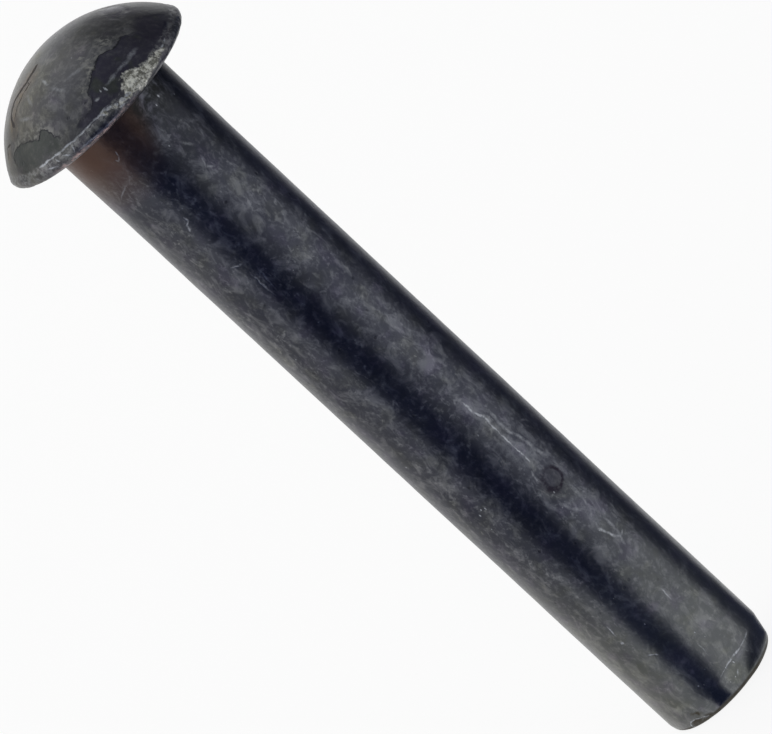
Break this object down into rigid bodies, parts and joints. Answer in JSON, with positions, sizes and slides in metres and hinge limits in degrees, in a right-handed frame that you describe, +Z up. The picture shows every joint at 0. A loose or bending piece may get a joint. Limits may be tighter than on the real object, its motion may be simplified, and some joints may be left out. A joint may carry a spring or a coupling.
{
  "type": "round head rivet",
  "caption": "Solid round head rivet with a half-round head, a plain round shank and a sheared flat tail, in black forging scale.",
  "frame": {"origin": "centre of the flat sheared tail end, on the shank's axis, where the rivet stands", "axes": "+Z up the shank to the crown of the head; +X towards the more rolled side of the tail; -Y faces the viewer of the picture"},
  "size_m": [0.0136, 0.0136, 0.0545],
  "materials": {
    "black_scale_steel": "blue-black forging scale, mottled, half matt"
  },
  "bodies": {
    "root": {"rivet": "black_scale_steel"}
  },
  "joints": []
}
